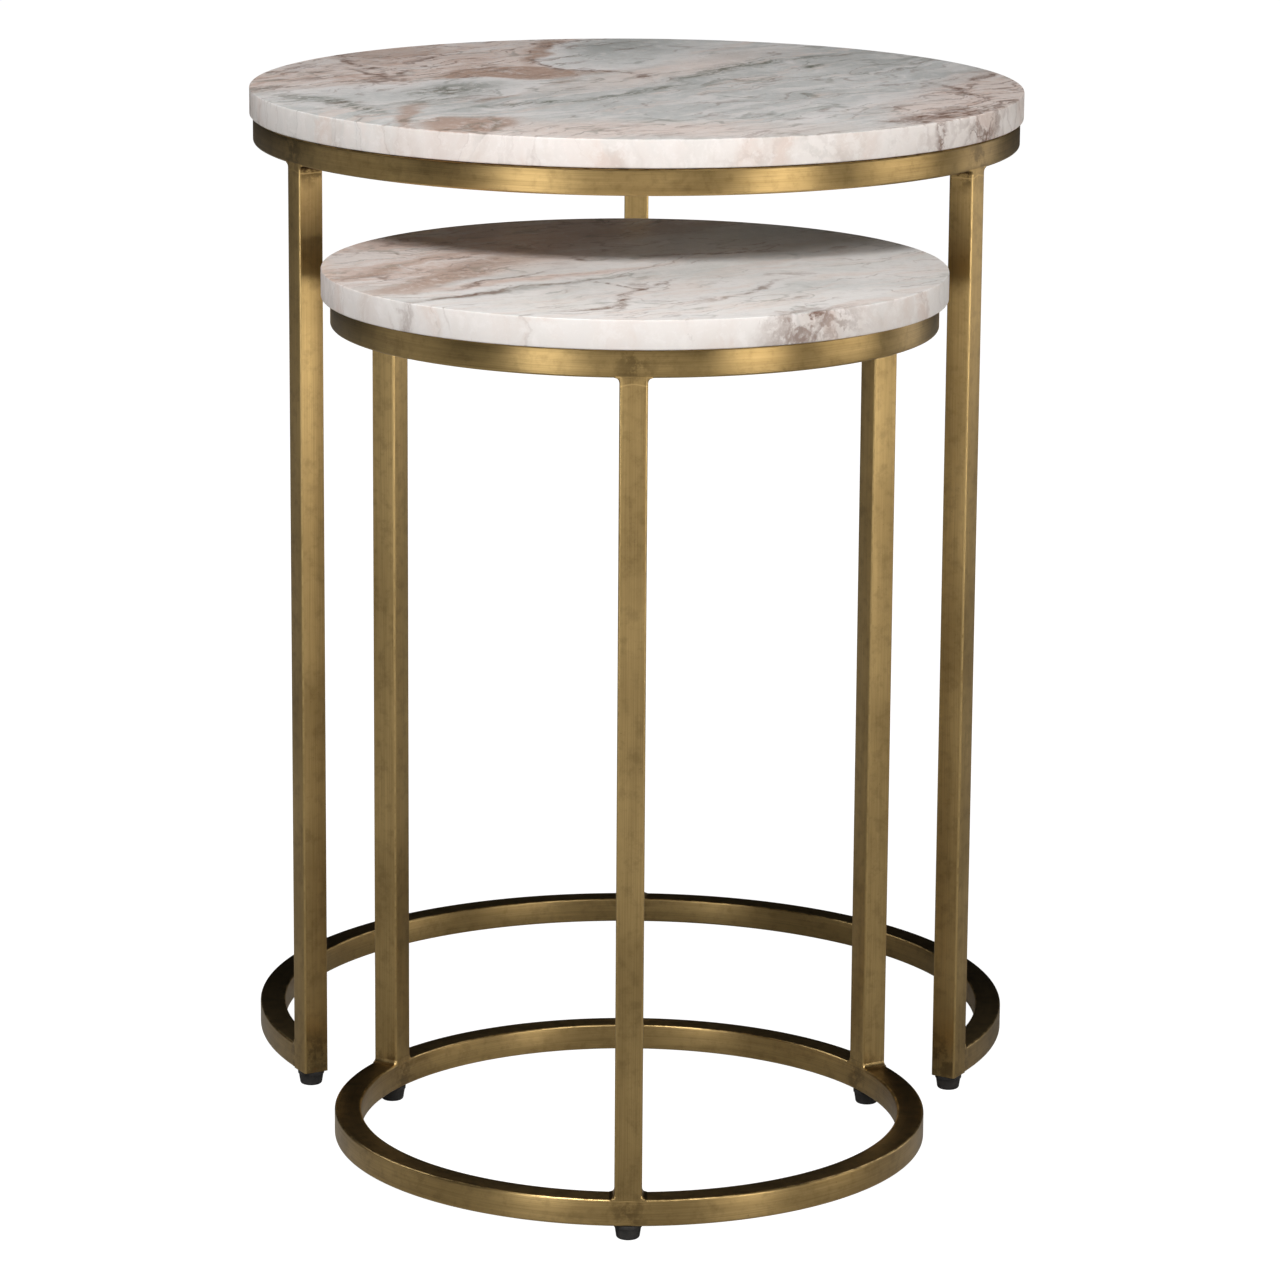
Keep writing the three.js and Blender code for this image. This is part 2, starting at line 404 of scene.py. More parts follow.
def large_marble():
    stone = Marble("large_marble", large, 52)
    broad = stone.streaks(130, 50, 3)
    fine = stone.streaks(55, 11, 5, 0.6)
    wisps = stone.streaks(90, 17, 4, 0.6, 4.4)
    # Ground: grey and white clouds, drawn out along the flow.
    stone.lay(COOL_GREY)
    stone.lay(WHITE_CALCITE, stone.ramp(fine, 0.46, 0.6) * 0.7)
    stone.lay(DEEP_GREY, stone.ramp(broad, 0.46, 0.62) * 0.5)
    stone.lay(PALE_PINK, stone.ramp(wisps, 0.54, 0.66) * 0.65)
    # Rose and brown country on the left, along the right edge and at the front.
    rose_left = stone.pool(-128, 112, 190, 84, -4, 0.2)
    rose_right = stone.pool(204, -40, 150, 42, 20, 0.45)
    rose_front = stone.pool(0, -190, 105, 34, -50, 0.6)
    stone.lay(PALE_PINK, rose_left)
    stone.lay(PALE_PINK, rose_right * 0.9)
    stone.lay(PALE_PINK, rose_front * 0.85)
    stone.lay(ROSE_BEIGE, rose_left * stone.ramp(fine, 0.46, 0.62) * 0.9)
    stone.lay(WHITE_CALCITE, rose_left * stone.ramp(wisps, 0.5, 0.66) * 0.6)
    stone.lay(ROSE_BEIGE, rose_right * stone.ramp(fine, 0.5, 0.64) * 0.8)
    stone.lay(BROWN_BAND, stone.pool(-149, 136, 42, 20, 14, 0.4) * 0.6)
    stone.lay(PALE_PINK, stone.pool(18, 70, 105, 24, 4, 0.6) * 0.7)
    stone.lay(BROWN_BAND, stone.pool(-60, 158, 58, 9, 34, 0.5) * 0.95)
    stone.lay(BROWN_BAND, stone.pool(-74, 50, 46, 30, -22, 0.16))
    stone.lay(BROWN_BAND, stone.vein_between(-48, 14, -84, -66, 6) * 0.7)
    stone.lay(BROWN_BAND, stone.vein_between(-40, 40, 15, 135, 6, 0.9) * 0.7)
    stone.lay(BROWN_BAND, stone.pool(-89, -170, 30, 22, 0, 0.3) * 0.9)
    stone.lay(BROWN_BAND, stone.vein_between(-124, -84, -122, -190, 5) * 0.8)
    # Grey pools with white rims.
    stone.lay(WHITE_CALCITE, stone.pool(-12, 166, 96, 43, 26, 0.1))
    stone.lay(COOL_GREY, stone.pool(-5, 170, 84, 37, 26, 0.35))
    stone.lay(DEEP_GREY, stone.pool(-12, 180, 42, 24, 26, 0.6))
    for x, y, length, width, turn in ((-92, -12, 46, 36, 0), (-150, -52, 78, 36, -26)):
        stone.lay(WHITE_CALCITE, stone.pool(x, y, length, width, turn, 0.12))
    for x, y, length, width, turn in ((-96, -14, 34, 24, 0), (-150, -56, 64, 24, -26)):
        stone.lay(COOL_GREY, stone.pool(x, y, length, width, turn, 0.6) * 0.9)
    stone.lay(WHITE_CALCITE, stone.vein_between(70, -190, 150, -40, 12, 0.9) * 0.6)
    stone.lighten_and_stain_edge()
    # Olive veins through the middle and in the left pool.
    olive_paths = (
        (-78, -88, -38, -74, 3.5), (-38, -74, 8, -20, 4), (-132, -84, -96, -50, 3.5),
        (-112, -34, -94, -12, 9), (28, 26, 44, 52, 4), (42, 48, 54, 84, 7), (56, 84, 86, 120, 6),
        (84, 112, 124, 150, 3), (-190, -60, -160, -94, 7), (-166, -90, -140, -120, 5),
        (-217, -28, -208, -18, 4), (10, -16, 30, 8, 3),
    )
    for x1, y1, x2, y2, thickness in olive_paths:
        stone.lay(OLIVE_VEIN, stone.vein_between(x1, y1, x2, y2, thickness * 1.4, 0.95) * stone.net * 0.85)
    stone.lay(OLIVE_VEIN, stone.vein_between(112, 98, 120, 108, 4) * 0.9)
    stone.lay(OLIVE_VEIN, stone.veins(95, 34, 0.02) * 0.45)
    # Umber threads where the stone is rose, and a dark cluster by the right edge.
    umber_paths = (
        (-178, 130, -168, 76, 1.6), (-168, 76, -146, 62, 2.4), (-170, 60, -146, 22, 1.4),
        (-60, 118, -42, 70, 1.5), (-44, 78, -6, 56, 1.5), (-6, 56, 4, 20, 1.3), (150, -140, 190, -92, 4.5),
        (168, -128, 206, -96, 3), (196, 30, 216, 70, 2), (176, 20, 200, -60, 1.6),
        (140, -150, 178, -150, 2),
    )
    for x1, y1, x2, y2, thickness in umber_paths:
        stone.lay(UMBER_VEIN, stone.vein_between(x1, y1, x2, y2, thickness * 1.8, 0.95) * stone.net)
    warm = rose_left * 0.9 + rose_right * 0.9 + rose_front * 0.5
    stone.lay(UMBER_VEIN, warm * stone.veins(60, 18, 0.03, 7.3) * 0.8)
    stone.lay(UMBER_VEIN, warm * stone.veins(80, 14, 0.034, 2.9) * 0.7)
    stone.lay(UMBER_VEIN, stone.veins(120, 24, 0.016, 5.1) * 0.4)
    return stone.polished()


def small_marble():
    stone = Marble("small_marble", small, 40)
    broad = stone.streaks(150, 55, 3)
    fine = stone.streaks(75, 12, 5, 0.6)
    wisps = stone.streaks(110, 18, 4, 0.6, 4.4)
    stone.lay(WHITE_CALCITE)
    stone.lay(PALE_PINK, stone.ramp(fine, 0.45, 0.66) * 0.85)
    stone.lay(COOL_GREY, stone.ramp(broad, 0.4, 0.66) * 0.8)
    stone.lay(ROSE_BEIGE, stone.ramp(wisps, 0.54, 0.7) * 0.5)
    stone.lay(COOL_GREY, 0.25)
    # Rose ground on the left and behind, with brown bands.
    rose = stone.pool(-118, 42, 210, 76, 4, 0.3)
    stone.lay(ROSE_BEIGE, rose * 0.85)
    stone.lay(WHITE_CALCITE, rose * stone.ramp(wisps, 0.47, 0.6) * 0.7)
    stone.lay(BROWN_BAND, stone.vein_between(-136, -102, -50, 50, 13, 0.5) * 0.9)
    stone.lay(BROWN_BAND, stone.vein_between(-158, -50, -118, 2, 5, 0.8) * 0.9)
    stone.lay(BROWN_BAND, stone.vein_between(-70, 60, 60, 160, 20, 0.8) * 0.8)
    stone.lay(WHITE_CALCITE, stone.vein_between(-80, -56, 10, -8, 9, 0.7) * 0.8)
    stone.lay(COOL_GREY, stone.pool(60, 110, 130, 34, 0, 0.8) * 0.7)
    stone.lay(ROSE_BEIGE, stone.vein_between(-110, -84, -5, -8, 6, 0.8) * 0.8)
    stone.lay(DEEP_GREY, stone.vein_between(-118, -126, -20, -40, 5, 0.9) * 0.9)
    stone.lighten_and_stain_edge()
    umber_paths = (
        (-116, -122, -70, -82, 2.2), (-72, -82, -4, -30, 1.3), (-16, -132, 0, -72, 2),
        (0, -74, -30, -50, 1.4), (-4, -78, 22, -46, 1.2), (-94, -74, -50, -20, 1.4),
        (-36, -142, -20, -126, 1.6), (70, -118, 82, -98, 1.4), (72, -160, 104, -134, 6),
        (30, -110, 76, -50, 1.2), (0, 30, 100, 60, 1.8), (-40, 30, -34, 20, 1.6),
    )
    for x1, y1, x2, y2, thickness in umber_paths:
        stone.lay(UMBER_VEIN, stone.vein_between(x1, y1, x2, y2, thickness * 1.5, 0.95) * stone.net)
    stone.lay(OLIVE_VEIN, stone.veins(95, 34, 0.018, 3.1) * 0.4)
    stone.lay(UMBER_VEIN, rose * stone.veins(60, 20, 0.022, 11.9) * 0.6)
    stone.lay(UMBER_VEIN, stone.veins(80, 26, 0.016, 8.7) * 0.45)
    return stone.polished()


BRASS_LIGHT = paint(204, 174, 118)
BRASS_OLIVE = paint(142, 118, 75)
# dark brass: weld scorch and dark patina, and also painted shade on faces that point up
BRASS_BURNT_AND_SHADE = paint(52, 37, 20)
BRASS_COPPER = paint(192, 130, 84)


def antique_brass(name, table, along):
    """Brass brushed along the tube: round the ring for along="ring", up and down for along="leg"."""
    metal = Surface(name)
    place = metal.mapped(tuple(table.centre))
    x, y, z = metal.split(place)
    away = (x * x + y * y).math("SQRT")
    turn = y.math("ARCTAN2", x) - list(table.angles.values())[0]
    third = turn.math("WRAP", math.pi / 3, -math.pi / 3)
    if along == "ring":
        brushed = metal.combine(x * (1 / 45), y * (1 / 45), z * (1 / 0.35))
        wide = metal.combine(x * (1 / 60), y * (1 / 60), z * (1 / 3.5))
        strokes = metal.noise(brushed, 1.0, 3, 0.6, w=away * (1 / 0.35))
        bands = metal.noise(wide, 1.0, 2, 0.5, w=away * (1 / 3.5))
        low = table.base_low / MM + table.tube / MM / 2
        high = table.ring_low / MM + table.tube / MM / 2
        across = away - table.tube_radius / MM
        beside = (z - low).math("WRAP", (high - low) / 2, (low - high) / 2)
        burnt = metal.ramp(third.math("ABSOLUTE"), 16 / (table.tube_radius / MM), 0.0) * 0.5
    else:
        brushed = metal.combine(x * (1 / 0.35), y * (1 / 0.35), z * (1 / 60))
        wide = metal.combine(x * (1 / 4), y * (1 / 4), z * (1 / 90))
        strokes = metal.noise(brushed, 1.0, 3, 0.6)
        bands = metal.noise(wide, 1.0, 2, 0.5)
        top = table.ring_low / MM
        base = table.base_high / MM
        across = away * third.math("COSINE") - table.tube_radius / MM
        beside = away * third.math("SINE")
        sagging = metal.noise(place, 1 / 6, 2, 0.5) * 1.6 + beside * beside * 0.02
        bead = metal.ramp((z - top + 2.6 + sagging).math("ABSOLUTE"), 0.7, 0.1)
        side = metal.ramp(beside.math("ABSOLUTE"), 6.6, 7.3) * 0.75 + 0.25
        burnt = (metal.ramp(z, top - 14, top - 2) + metal.ramp(z, base + 12, base) * 0.5) * side
    # painted shade: faces that point up are darkened, a painted dark reflection of the dim studio
    painted_dark_top = metal.ramp(metal.up(), 0.5, 0.9)
    patina = metal.noise(place, 1 / 90, 5, 0.55)
    smoke = metal.noise(place, 1 / 7, 5, 0.65)
    spots = metal.ramp(metal.noise(place, 1 / 2.2, 2, 0.5), 0.74, 0.8)
    corner = across.math("ABSOLUTE").math("MINIMUM", beside.math("ABSOLUTE"))
    # corners lighter and smoother: partly wear, partly a painted highlight along the rounded corners
    worn_and_highlit = metal.ramp(corner, 6.1, 7.1) * metal.ramp(smoke, 0.35, 0.6)
    colour = metal.mix(metal.ramp(patina, 0.3, 0.7) * 0.5 + 0.2, BRASS_LIGHT, BRASS_OLIVE)
    colour = metal.mix(metal.ramp(bands, 0.35, 0.7) * (0.4 if along == "ring" else 0.2), colour, BRASS_OLIVE)
    colour = metal.mix(metal.ramp(strokes, 0.4, 0.75) * 0.25, colour, BRASS_BURNT_AND_SHADE)
    colour = metal.mix(metal.ramp(smoke, 0.45, 0.7) * 0.22, colour, BRASS_BURNT_AND_SHADE)
    colour = metal.mix(burnt * metal.ramp(smoke, 0.42, 0.58) * 0.8, colour, BRASS_BURNT_AND_SHADE)
    colour = metal.mix(burnt * metal.ramp(smoke, 0.66, 0.72) * 0.25, colour, BRASS_COPPER)
    colour = metal.mix(spots * 0.35, colour, BRASS_BURNT_AND_SHADE)
    # painted shade: faces that point up take the dark brass, a painted dark reflection of the studio, broken
    # a little by the patina noise
    colour = metal.mix(painted_dark_top * (metal.ramp(smoke, 0.7, 0.35) * 0.3 + 0.4), colour, BRASS_BURNT_AND_SHADE)
    # painted highlight in part: the corners take the light brass, for wear and for the highlight along them
    colour = metal.mix(worn_and_highlit * 0.75, colour, BRASS_LIGHT)
    if along == "leg":
        colour = metal.mix(bead * 0.5, colour, BRASS_LIGHT)
    roughness = 0.28 + patina * 0.06 + strokes * 0.1 + burnt * 0.06 - worn_and_highlit * 0.05
    relief = strokes * 0.9 + smoke * 0.6 + bands * (0.8 if along == "ring" else 0.4)
    normal = metal.bump(relief, 0.06 * MM, 0.5)
    return metal.finish(
        Base_Color=colour,
        Metallic=1.0,
        Roughness=roughness,
        Normal=normal,
        Anisotropic=0.6,
        Anisotropic_Rotation=0.25 if along == "ring" else 0.0,
    )


def black_rubber():
    rubber = Surface("black_rubber")
    place = rubber.mapped((0, 0, 0))
    grain = rubber.noise(place, 1 / 0.5, 4, 0.6)
    dust = rubber.noise(place, 1 / 5, 4, 0.6)
    colour = rubber.mix(rubber.ramp(dust, 0.4, 0.75) * 0.6, paint(30, 28, 27), paint(58, 55, 52))
    normal = rubber.bump(grain, 0.06 * MM, 0.6)
    return rubber.finish(Base_Color=colour, Roughness=0.62 + dust * 0.25, Normal=normal)


def zinc_steel():
    steel = Surface("zinc_steel")
    place = steel.mapped((0, 0, 0))
    bloom = steel.noise(place, 1 / 1.6, 4, 0.6)
    colour = steel.mix(steel.ramp(bloom, 0.35, 0.7), paint(186, 187, 190), paint(140, 142, 146))
    normal = steel.bump(bloom, 0.02 * MM, 0.5)
    return steel.finish(Base_Color=colour, Metallic=1.0, Roughness=0.28 + bloom * 0.2, Normal=normal)


def milky_silicone():
    silicone = Surface("milky_silicone")
    place = silicone.mapped((0, 0, 0))
    cloud = silicone.noise(place, 1 / 3, 4, 0.6)
    colour = silicone.mix(cloud, paint(196, 196, 190), paint(222, 222, 216))
    normal = silicone.bump(cloud, 0.03 * MM, 0.4)
    return silicone.finish(Base_Color=colour, Roughness=0.38 + cloud * 0.2, Normal=normal)


# ---------------------------------------------------------------- geometry trees


class Shape(Graph):
    """A geometry tree with named inputs, which makes plain meshes."""

    KINDS = {"float": "NodeSocketFloat", "int": "NodeSocketInt", "vector": "NodeSocketVector",
             "object": "NodeSocketObject", "bool": "NodeSocketBool"}

    def __init__(self, name, **inputs):
        super().__init__(bpy.data.node_groups.new(name, "GeometryNodeTree"))
        for key, kind in inputs.items():
            self.tree.interface.new_socket(key, in_out="INPUT", socket_type=self.KINDS[kind])
        self.tree.interface.new_socket("material", in_out="INPUT", socket_type="NodeSocketMaterial")
        self.tree.interface.new_socket("geometry", in_out="OUTPUT", socket_type="NodeSocketGeometry")
        self.source = self.add("NodeGroupInput")

    def given(self, key):
        return self.out(self.source, key)

    def end(self, geometry):
        """Realizes the geometry, gives it its material and makes it the tree's output."""
        real = self.out(self.add("GeometryNodeRealizeInstances", None, {"Geometry": geometry}))
        inputs = {"Geometry": real, "Material": self.given("material")}
        finished = self.out(self.add("GeometryNodeSetMaterial", None, inputs))
        self.add("NodeGroupOutput", None, {"geometry": finished})

    def make(self, name, **values):
        """Evaluates the tree with these inputs and keeps the result as a plain mesh object."""
        scratch = bpy.data.objects.new("scratch", bpy.data.meshes.new("scratch"))
        bpy.context.scene.collection.objects.link(scratch)
        modifier = scratch.modifiers.new("tree", "NODES")
        modifier.node_group = self.tree
        for item in self.tree.interface.items_tree:
            if item.in_out == "INPUT" and item.name in values:
                modifier[item.identifier] = values[item.name]
        bpy.context.view_layer.update()
        depsgraph = bpy.context.evaluated_depsgraph_get()
        mesh = bpy.data.meshes.new_from_object(scratch.evaluated_get(depsgraph))
        scratch.modifiers.remove(modifier)
        bpy.data.objects.remove(scratch)
        return placed(name, mesh)

    def tube_section(self):
        """The tube's square outline with rounded corners."""
        inputs = {"Width": self.given("tube"), "Height": self.given("tube")}
        square = self.out(self.add("GeometryNodeCurvePrimitiveQuadrilateral", None, inputs))
        inputs = {"Curve": square, "Count": CORNER_STEPS, "Radius": self.given("corner")}
        inputs["Limit Radius"] = True
        return self.out(self.add("GeometryNodeFilletCurve", {"mode": "POLY"}, inputs))

    def swept(self, path):
        """The tube along a path, with closed ends."""
        up = self.out(self.add("GeometryNodeSetCurveNormal", {"mode": "Z_UP"}, {"Curve": path}))
        inputs = {"Curve": up, "Profile Curve": self.tube_section(), "Fill Caps": True}
        return self.out(self.add("GeometryNodeCurveToMesh", None, inputs))

    def moved(self, geometry, offset, turn=(0, 0, 0)):
        inputs = {"Geometry": geometry, "Translation": offset, "Rotation": turn}
        return self.out(self.add("GeometryNodeTransform", None, inputs))


def rolled_ring_tree():
    """Square tube rolled to a full ring, or to an arc from start over sweep where open is set."""
    shape = Shape("rolled_ring", radius="float", tube="float", corner="float", centre="vector",
                  open="bool", start="float", sweep="float")
    radius = shape.given("radius")
    circle = shape.add("GeometryNodeCurvePrimitiveCircle", {"mode": "RADIUS"},
                       {"Resolution": RING_SIDES, "Radius": radius})
    inputs = {"Resolution": RING_SIDES, "Radius": radius}
    inputs |= {"Start Angle": shape.given("start"), "Sweep Angle": shape.given("sweep")}
    horseshoe = shape.add("GeometryNodeCurveArc", {"mode": "RADIUS"}, inputs)
    inputs = {"Switch": shape.given("open"), "False": shape.out(circle), "True": shape.out(horseshoe)}
    path = shape.add("GeometryNodeSwitch", {"input_type": "GEOMETRY"}, inputs)
    shape.end(shape.moved(shape.swept(shape.out(path)), shape.given("centre")))
    return shape


def straight_tube_tree():
    """Square tube that stands on end at a radius and an angle from a centre, from low to high."""
    shape = Shape("straight_tube", radius="float", angle="float", low="float", high="float",
                  tube="float", corner="float", centre="vector")
    start = shape.combine(0.0, 0.0, shape.given("low"))
    end = shape.combine(0.0, 0.0, shape.given("high"))
    inputs = {"Start": start, "End": end}
    line = shape.out(shape.add("GeometryNodeCurvePrimitiveLine", {"mode": "POINTS"}, inputs))
    inputs = {"Curve": line, "Profile Curve": shape.tube_section(), "Fill Caps": True}
    tube = shape.out(shape.add("GeometryNodeCurveToMesh", None, inputs))
    out = shape.moved(tube, shape.combine(shape.given("radius"), 0.0, 0.0))
    shape.end(shape.moved(out, shape.given("centre"), shape.combine(0.0, 0.0, shape.given("angle"))))
    return shape


def set_round_axis_tree():
    """Copies of a part, evenly spaced round an axis, each turned to face outwards."""
    shape = Shape("set_round_axis", part="object", count="int", radius="float", first="float",
                  centre="vector", height="float", roll="float")
    index = shape.out(shape.add("GeometryNodeInputIndex"))
    angle = shape.given("first") + index * math.tau / shape.given("count")
    radius = shape.given("radius")
    spot = shape.combine(radius * angle.math("COSINE"), radius * angle.math("SINE"), shape.given("height"))
    inputs = {"Count": shape.given("count"), "Position": spot}
    points = shape.out(shape.add("GeometryNodePoints", None, inputs))
    part = shape.add("GeometryNodeObjectInfo", None, {"Object": shape.given("part")})
    inputs = {"Points": points, "Instance": shape.out(part, "Geometry")}
    inputs["Rotation"] = shape.combine(shape.given("roll"), 0.0, angle)
    copies = shape.out(shape.add("GeometryNodeInstanceOnPoints", None, inputs))
    shape.end(shape.moved(copies, shape.given("centre")))
    return shape


# ---------------------------------------------------------------- mesh work


def placed(name, mesh):
    """An object at the origin that holds the mesh, shaded smooth with sharp edges kept."""
    mesh.name = name
    mesh.shade_smooth()
    mesh.set_sharp_from_angle(angle=math.radians(35))
    piece = bpy.data.objects.new(name, mesh)
    bpy.context.scene.collection.objects.link(piece)
    return piece


def mesh_of(build):
    """Runs a function that fills a bmesh, and gives the mesh with its faces pointing out."""
    work = bmesh.new()
    build(work)
    bmesh.ops.remove_doubles(work, verts=work.verts, dist=1e-7)
    bmesh.ops.recalc_face_normals(work, faces=work.faces)
    mesh = bpy.data.meshes.new("mesh")
    work.to_mesh(mesh)
    work.free()
    return mesh


def skin(work, loops, closed=False):
    """Joins loops of vertices with faces, and caps the ends where the row of loops isn't closed."""
    rows = [[work.verts.new(point) for point in loop] for loop in loops]
    pairs = list(zip(rows, rows[1:]))
    if closed:
        pairs.append((rows[-1], rows[0]))
    for first, second in pairs:
        for i in range(len(first)):
            j = (i + 1) % len(first)
            work.faces.new((first[i], first[j], second[j], second[i]))
    if not closed:
        work.faces.new(rows[0])
        work.faces.new(rows[-1])


def turned(profile, sides, closed=False, wear=0.0):
    """A body turned about Z from (radius, height) points. Worn edges wander by up to wear."""
    loops = []
    for radius, height in profile:
        loop = []
        for i in range(sides):
            angle = math.tau * i / sides
            spot = Vector((radius * math.cos(angle), radius * math.sin(angle), height))
            inward = wear * max(0.0, noise.fractal(spot / (5 * MM), 1.0, 2.0, 3)) if wear else 0.0
            scale = 1 - inward / radius
            loop.append((spot.x * scale, spot.y * scale, spot.z))
        loops.append(loop)
    return mesh_of(lambda work: skin(work, loops, closed))


def arc(centre_radius, centre_height, radius, start, end, steps):
    """Points of a rounding in a profile, with its angles in degrees."""
    points = []
    for i in range(steps + 1):
        angle = math.radians(start + (end - start) * i / steps)
        points.append((centre_radius + radius * math.cos(angle), centre_height + radius * math.sin(angle)))
    return points


def stone_disc(table):
    """The marble disc. Both edges have a small rounding that wanders a little."""
    edge = table.stone_radius - STONE_ARRIS
    low = table.stone_low + STONE_ARRIS
    high = table.stone_high - STONE_ARRIS
    flat = table.stone_radius * 0.5
    profile = [(flat, table.stone_low), *arc(edge, low, STONE_ARRIS, -90, 0, 3)]
    profile += [*arc(edge, high, STONE_ARRIS, 0, 90, 3), (flat, table.stone_high)]
    return turned(profile, STONE_SIDES, wear=STONE_CHIP)


def rubber_foot(height):
    """A bumper with a lip at the top, a taper, a well-rounded lower edge and a screw recess."""
    under_lip = height - FOOT_LIP
    soft = 0.5 * MM
    profile = [(FOOT_RECESS, 0.0)]
    profile += arc(FOOT_BOTTOM - FOOT_ROUNDING, FOOT_ROUNDING, FOOT_ROUNDING, -90, 0, 6)
    profile += [(FOOT_TOP - 0.55 * MM, under_lip - 0.3 * MM), (FOOT_TOP - 0.1 * MM, under_lip)]
    profile += arc(FOOT_TOP - soft, height - soft, soft, 0, 90, 3)
    profile += [(FOOT_BORE, height), (FOOT_BORE, FOOT_SEAT), (FOOT_RECESS, FOOT_SEAT)]
    return turned(profile, FOOT_SIDES, closed=True)


def pan_head_screw(tip):
    """A pan-head screw, head down, with a cross recess and its thread as rings."""
    low = FOOT_SEAT - SCREW_HEAD_HEIGHT
    dome = 1.2 * MM
    thread_root = SCREW_SHANK * 0.78
    profile = [(0.4 * MM, low), *arc(SCREW_HEAD - dome, low + dome, dome, -90, 0, 5), (SCREW_HEAD, FOOT_SEAT)]
    height = FOOT_SEAT
    while height + SCREW_PITCH < tip - SCREW_SHANK:
        profile += [(thread_root, height), (SCREW_SHANK, height + SCREW_PITCH * 0.5)]
        height += SCREW_PITCH
    profile += [(thread_root, height), (0.2 * MM, tip)]
    screw = placed("screw_blank", turned(profile, SCREW_SIDES))
    for turn in (0.0, math.pi / 2):
        cut_slot(screw, turn, low)
    mesh = screw.data
    bpy.data.objects.remove(screw)
    return mesh


def cut_slot(screw, turn, low):
    """Cuts one slot of the cross recess into the head."""
    work = bmesh.new()
    bmesh.ops.create_cube(work, size=1.0)
    bmesh.ops.scale(work, vec=(SCREW_HEAD * 1.1, SCREW_SLOT, 2.6 * MM), verts=work.verts)
    bmesh.ops.rotate(work, matrix=Matrix.Rotation(turn, 3, "Z"), verts=work.verts)
    bmesh.ops.translate(work, vec=(0, 0, low), verts=work.verts)
    mesh = bpy.data.meshes.new("slot_cutter")
    work.to_mesh(mesh)
    work.free()
    cutter = bpy.data.objects.new("slot_cutter", mesh)
    bpy.context.scene.collection.objects.link(cutter)
    modifier = screw.modifiers.new("slot", "BOOLEAN")
    modifier.operation = "DIFFERENCE"
    modifier.object = cutter
    bpy.context.view_layer.update()
    depsgraph = bpy.context.evaluated_depsgraph_get()
    cut = bpy.data.meshes.new_from_object(screw.evaluated_get(depsgraph))
    screw.modifiers.remove(modifier)
    screw.data = cut
    bpy.data.objects.remove(cutter)


def weld(table, upright, sides):
    """The ground weld between two tubes that meet end to side.

    It runs from just inside the tube that is met, along the one that ends there. Its outline flares
    as a hollow fillet on one or both sides. An upright weld runs along Z, any other along the ring."""
    half = table.tube / 2 + WELD_PROUD
    loops = []
    for i in range(-len(WELD_ROOT), WELD_STEPS + 1):
        run = max(i, 0) / WELD_STEPS
        flare = WELD_LEG * (1 - math.sqrt(1 - (1 - run) ** 2))
        along = -WELD_ROOT[i] if i < 0 else WELD_LEG * run
        loop = []
        for x, y in rounded_square(half, TUBE_CORNER):
            if y > 0 or sides == 2:
                y += math.copysign(flare, y)
            across = y if upright else along + table.tube / 2
            bead = WELD_RIPPLE * noise.noise(Vector((x, y, along)) / (1.1 * MM)) * (0 < i < WELD_STEPS)
            x -= across * across / (2 * table.frame_radius)
            x += math.copysign(bead, x)
            loop.append((x, y, along) if upright else (x, along, y))
        loops.append(loop)
    return mesh_of(lambda work: skin(work, loops))


def rounded_square(half, corner):
    """The outline of a square with rounded corners, as points round its centre."""
    points = []
    for quarter, (sx, sy) in enumerate(((1, 1), (-1, 1), (-1, -1), (1, -1))):
        start = quarter * 90
        points += arc(sx * (half - corner), sy * (half - corner), corner, start, start + 90, CORNER_STEPS)
    return points


# ---------------------------------------------------------------- the pieces


def keep(piece, table, slot, *nodes):
    """Puts a finished piece on its table in place of its nodes."""
    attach(piece, table.body)
    if nodes:
        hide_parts(*nodes)


def dress(piece, material):
    piece.data.materials.clear()
    piece.data.materials.append(material)


def add_stone(table, material):
    piece = placed(table.node("marble_disc"), stone_disc(table))
    piece.data.transform(Matrix.Translation(table.centre))
    dress(piece, material)
    keep(piece, table, "stone", table.node("stone_top"))


def add_rings(table, tree, material):
    size = {"tube": table.tube, "corner": TUBE_CORNER, "radius": table.tube_radius, "material": material}
    middle = table.ring_low + table.tube / 2
    top = tree.make(table.node("brass_top_ring"), centre=(table.centre.x, table.centre.y, middle), **size)
    keep(top, table, "antique_brass", table.node("top_ring"))
    middle = table.base_low + table.tube / 2
    size["centre"] = (table.centre.x, table.centre.y, middle)
    beside = [angle for place, angle in table.angles.items() if not table.on_base_ring(place)]
    if beside:
        gap = table.tube / 2 / table.tube_radius
        size["open"] = True
        size["start"] = max(beside) + gap
        size["sweep"] = (min(beside) - max(beside)) % math.tau - 2 * gap
    base = tree.make(table.node("brass_base_ring"), **size)
    keep(base, table, "antique_brass", table.node("base_ring"))


def add_legs(table, tree, material):
    size = {"tube": table.tube, "corner": TUBE_CORNER, "radius": table.tube_radius, "material": material}
    for place, angle in table.angles.items():
        nodes = [table.node(f"leg_{place}")]
        low = table.base_high
        if not table.on_base_ring(place):
            nodes.append(table.node(f"leg_end_plate_{place}"))
            low = table.base_low
        leg = tree.make(table.node(f"brass_leg_{place}"), angle=angle, low=low, high=table.ring_low,
                        centre=tuple(table.centre), **size)
        keep(leg, table, "antique_brass", *nodes)


def add_feet(table, tree, rubber, steel):
    height = table.base_low
    foot = placed("foot", rubber_foot(height))
    screw = placed("screw", pan_head_screw(height + SCREW_GRIP))
    ring = {"count": len(table.angles), "radius": table.tube_radius, "centre": tuple(table.centre)}
    ring["first"] = list(table.angles.values())[0]
    feet = tree.make(table.node("rubber_feet"), part=foot, material=rubber, **ring)
    keep(feet, table, "rubber", *[table.node(f"foot_{place}") for place in table.angles])
    screws = tree.make(table.node("foot_screws"), part=screw, material=steel, **ring)
    keep(screws, table, "screw_steel", *[table.node(f"foot_screw_{place}") for place in table.angles])
    for part in (foot, screw):
        bpy.data.objects.remove(part)


